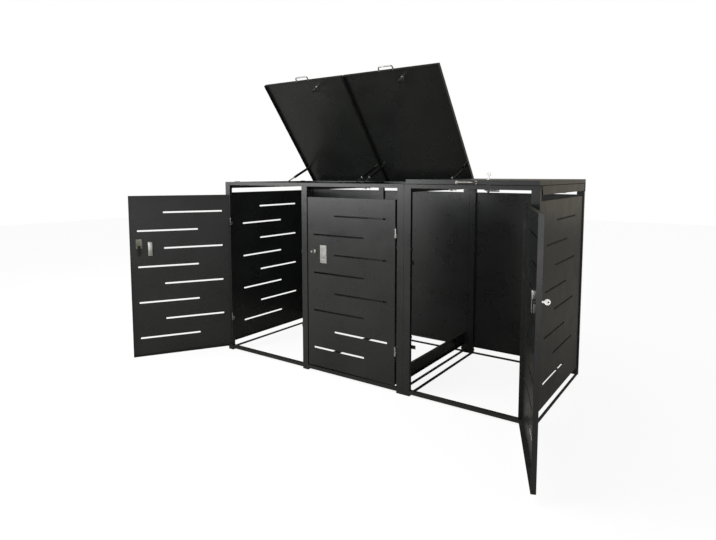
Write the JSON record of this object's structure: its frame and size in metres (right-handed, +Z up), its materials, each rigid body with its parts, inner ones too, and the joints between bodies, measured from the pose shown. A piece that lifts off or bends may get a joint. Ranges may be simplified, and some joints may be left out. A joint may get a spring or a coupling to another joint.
{
  "type": "wheelie bin store",
  "caption": "Black steel store for wheelie bins: bays side by side with slotted doors, slotted side panels and sprung lids that lift for filling.",
  "frame": {"origin": "on the ground, at the middle of the width and the depth over the posts", "axes": "+X to the right seen from the doors, +Y to the back, +Z up"},
  "size_m": [2.5427, 1.4924, 1.8221],
  "materials": {
    "black_paint": "satin powder coat",
    "lid_paint": "satin powder coat",
    "hinge_steel": "bright zinc",
    "satin_steel": "satin",
    "zinc": "zinc plated",
    "chrome": "polished",
    "strut_black": "gloss",
    "black_plastic": "matt",
    "rubber": "matt"
  },
  "bodies": {
    "frame": {"front_posts": "black_paint", "back_posts": "black_paint", "front_top_rails": "black_paint", "back_top_rails": "black_paint", "side_top_rails": "black_paint", "front_sills": "black_paint", "floor_bars": "black_paint", "tube_plugs": "black_plastic", "left_side_panel": "black_paint", "right_side_panel": "black_paint", "back_panels": "black_paint", "low_tie_plate": "black_paint", "joining_bolts": "zinc", "door_hinge_frame_leaves": "hinge_steel", "lid_hinge_frame_leaves": "hinge_steel", "lock_keepers": "black_paint", "lid_buffers": "rubber", "strut_rail_studs": "zinc"},
    "door_1": {"door_1_pan": "black_paint", "door_1_pull": "satin_steel", "door_1_hinge_leaves": "hinge_steel", "door_1_lock_case": "zinc"},
    "door_1_lock": {"door_1_lock_plug": "chrome"},
    "door_2": {"door_2_pan": "black_paint", "door_2_pull": "satin_steel", "door_2_hinge_leaves": "hinge_steel", "door_2_lock_case": "zinc"},
    "door_2_lock": {"door_2_lock_plug": "chrome"},
    "door_3": {"door_3_pan": "black_paint", "door_3_pull": "satin_steel", "door_3_hinge_leaves": "hinge_steel", "door_3_lock_case": "zinc"},
    "door_3_lock": {"door_3_lock_plug": "chrome"},
    "lid_1": {"lid_1_pan": "lid_paint", "lid_1_handle": "chrome", "lid_1_fittings": "zinc", "lid_1_lock_case": "zinc"},
    "lid_1_lock": {"lid_1_lock_plug": "chrome"},
    "lid_1_left_strut_cylinder": {"lid_1_left_strut_cylinder": "strut_black"},
    "lid_1_left_strut_rod": {"lid_1_left_strut_rod": "chrome"},
    "lid_1_right_strut_cylinder": {"lid_1_right_strut_cylinder": "strut_black"},
    "lid_1_right_strut_rod": {"lid_1_right_strut_rod": "chrome"},
    "lid_2": {"lid_2_pan": "lid_paint", "lid_2_handle": "chrome", "lid_2_fittings": "zinc", "lid_2_lock_case": "zinc"},
    "lid_2_lock": {"lid_2_lock_plug": "chrome"},
    "lid_2_left_strut_cylinder": {"lid_2_left_strut_cylinder": "strut_black"},
    "lid_2_left_strut_rod": {"lid_2_left_strut_rod": "chrome"},
    "lid_2_right_strut_cylinder": {"lid_2_right_strut_cylinder": "strut_black"},
    "lid_2_right_strut_rod": {"lid_2_right_strut_rod": "chrome"},
    "lid_3": {"lid_3_pan": "lid_paint", "lid_3_handle": "chrome", "lid_3_fittings": "zinc", "lid_3_lock_case": "zinc"},
    "lid_3_lock": {"lid_3_lock_plug": "chrome"},
    "lid_3_left_strut_cylinder": {"lid_3_left_strut_cylinder": "strut_black"},
    "lid_3_left_strut_rod": {"lid_3_left_strut_rod": "chrome"},
    "lid_3_right_strut_cylinder": {"lid_3_right_strut_cylinder": "strut_black"},
    "lid_3_right_strut_rod": {"lid_3_right_strut_rod": "chrome"}
  },
  "joints": [
    {"name": "door_1_swing", "type": "hinge", "parent": "frame", "child": "door_1", "pos_m": [-0.989, -0.43, 0.2296], "axis": [0, 0, -1], "range_deg": [-121.6, 48.4]},
    {"name": "door_1_lock_turn", "type": "hinge", "parent": "door_1", "child": "door_1_lock", "pos_m": [-1.28086, -0.90441, 0.727], "axis": [-0.8517, 0.524, 0], "range_deg": [0, 90]},
    {"name": "door_2_swing", "type": "hinge", "parent": "frame", "child": "door_2", "pos_m": [0.285, -0.43, 0.2296], "axis": [0, 0, 1], "range_deg": [0, 170]},
    {"name": "door_2_lock_turn", "type": "hinge", "parent": "door_2", "child": "door_2_lock", "pos_m": [-0.272, -0.43, 0.727], "axis": [0, 1, 0], "range_deg": [0, 90]},
    {"name": "door_3_swing", "type": "hinge", "parent": "frame", "child": "door_3", "pos_m": [0.989, -0.43, 0.2296], "axis": [0, 0, 1], "range_deg": [-113, 57]},
    {"name": "door_3_lock_turn", "type": "hinge", "parent": "door_3", "child": "door_3_lock", "pos_m": [1.20664, -0.94272, 0.727], "axis": [-0.9205, -0.3907, 0], "range_deg": [0, 90]},
    {"name": "lid_1_lift", "type": "hinge", "parent": "frame", "child": "lid_1", "pos_m": [-0.6835, 0.4323, 1.072], "axis": [-1, 0, 0], "range_deg": [-52, 0], "stiffness_Nm_per_rad": 9, "springref_deg": 127.32},
    {"name": "lid_1_lock_turn", "type": "hinge", "parent": "lid_1", "child": "lid_1_lock", "pos_m": [-0.5965, -0.00203, 1.75461], "axis": [0, -0.788, -0.6157], "range_deg": [0, 90]},
    {"name": "lid_1_left_strut_pivot", "type": "hinge", "parent": "lid_1", "child": "lid_1_left_strut_cylinder", "pos_m": [-1.003, 0.3852, 1.22974], "axis": [1, 0, 0], "range_deg": [-64.81, 0]},
    {"name": "lid_1_left_strut_slide", "type": "slide", "parent": "lid_1_left_strut_cylinder", "child": "lid_1_left_strut_rod", "axis": [0, -0.9154, -0.4026], "range_m": [-0.13142, 0]},
    {"name": "lid_1_right_strut_pivot", "type": "hinge", "parent": "lid_1", "child": "lid_1_right_strut_cylinder", "pos_m": [-0.384, 0.3852, 1.22974], "axis": [1, 0, 0], "range_deg": [-64.81, 0]},
    {"name": "lid_1_right_strut_slide", "type": "slide", "parent": "lid_1_right_strut_cylinder", "child": "lid_1_right_strut_rod", "axis": [0, -0.9154, -0.4026], "range_m": [-0.13142, 0]},
    {"name": "lid_2_lift", "type": "hinge", "parent": "frame", "child": "lid_2", "pos_m": [-0.0205, 0.4323, 1.072], "axis": [-1, 0, 0], "range_deg": [-52, 0], "stiffness_Nm_per_rad": 9, "springref_deg": 127.32},
    {"name": "lid_2_lock_turn", "type": "hinge", "parent": "lid_2", "child": "lid_2_lock", "pos_m": [0.0665, -0.00203, 1.75461], "axis": [0, -0.788, -0.6157], "range_deg": [0, 90]},
    {"name": "lid_2_left_strut_pivot", "type": "hinge", "parent": "lid_2", "child": "lid_2_left_strut_cylinder", "pos_m": [-0.32, 0.3852, 1.22974], "axis": [1, 0, 0], "range_deg": [-64.81, 0]},
    {"name": "lid_2_left_strut_slide", "type": "slide", "parent": "lid_2_left_strut_cylinder", "child": "lid_2_left_strut_rod", "axis": [0, -0.9154, -0.4026], "range_m": [-0.13142, 0]},
    {"name": "lid_2_right_strut_pivot", "type": "hinge", "parent": "lid_2", "child": "lid_2_right_strut_cylinder", "pos_m": [0.299, 0.3852, 1.22974], "axis": [1, 0, 0], "range_deg": [-64.81, 0]},
    {"name": "lid_2_right_strut_slide", "type": "slide", "parent": "lid_2_right_strut_cylinder", "child": "lid_2_right_strut_rod", "axis": [0, -0.9154, -0.4026], "range_m": [-0.13142, 0]},
    {"name": "lid_3_lift", "type": "hinge", "parent": "frame", "child": "lid_3", "pos_m": [0.6835, 0.4323, 1.072], "axis": [-1, 0, 0], "range_deg": [0, 52], "stiffness_Nm_per_rad": 9, "springref_deg": 179.32},
    {"name": "lid_3_lock_turn", "type": "hinge", "parent": "lid_3", "child": "lid_3_lock", "pos_m": [0.7705, -0.373, 1.15], "axis": [0, 0, -1], "range_deg": [0, 90]},
    {"name": "lid_3_left_strut_pivot", "type": "hinge", "parent": "lid_3", "child": "lid_3_left_strut_cylinder", "pos_m": [0.364, 0.279, 1.132], "axis": [1, 0, 0], "range_deg": [0, 64.81]},
    {"name": "lid_3_left_strut_slide", "type": "slide", "parent": "lid_3_left_strut_cylinder", "child": "lid_3_left_strut_rod", "axis": [0, -0.9818, -0.1897], "range_m": [0, 0.13142]},
    {"name": "lid_3_right_strut_pivot", "type": "hinge", "parent": "lid_3", "child": "lid_3_right_strut_cylinder", "pos_m": [1.003, 0.279, 1.132], "axis": [1, 0, 0], "range_deg": [0, 64.81]},
    {"name": "lid_3_right_strut_slide", "type": "slide", "parent": "lid_3_right_strut_cylinder", "child": "lid_3_right_strut_rod", "axis": [0, -0.9818, -0.1897], "range_m": [0, 0.13142]}
  ],
  "couplings": [
    {"joint": "lid_1_left_strut_pivot", "follows": "lid_1_lift", "ratio": 1.2462},
    {"joint": "lid_1_left_strut_slide", "follows": "lid_1_lift", "m_per_rad": 0.14469},
    {"joint": "lid_1_right_strut_pivot", "follows": "lid_1_lift", "ratio": 1.2462},
    {"joint": "lid_1_right_strut_slide", "follows": "lid_1_lift", "m_per_rad": 0.14469},
    {"joint": "lid_2_left_strut_pivot", "follows": "lid_2_lift", "ratio": 1.2462},
    {"joint": "lid_2_left_strut_slide", "follows": "lid_2_lift", "m_per_rad": 0.14469},
    {"joint": "lid_2_right_strut_pivot", "follows": "lid_2_lift", "ratio": 1.2462},
    {"joint": "lid_2_right_strut_slide", "follows": "lid_2_lift", "m_per_rad": 0.14469},
    {"joint": "lid_3_left_strut_pivot", "follows": "lid_3_lift", "ratio": 1.2462},
    {"joint": "lid_3_left_strut_slide", "follows": "lid_3_lift", "m_per_rad": 0.14469},
    {"joint": "lid_3_right_strut_pivot", "follows": "lid_3_lift", "ratio": 1.2462},
    {"joint": "lid_3_right_strut_slide", "follows": "lid_3_lift", "m_per_rad": 0.14469}
  ]
}
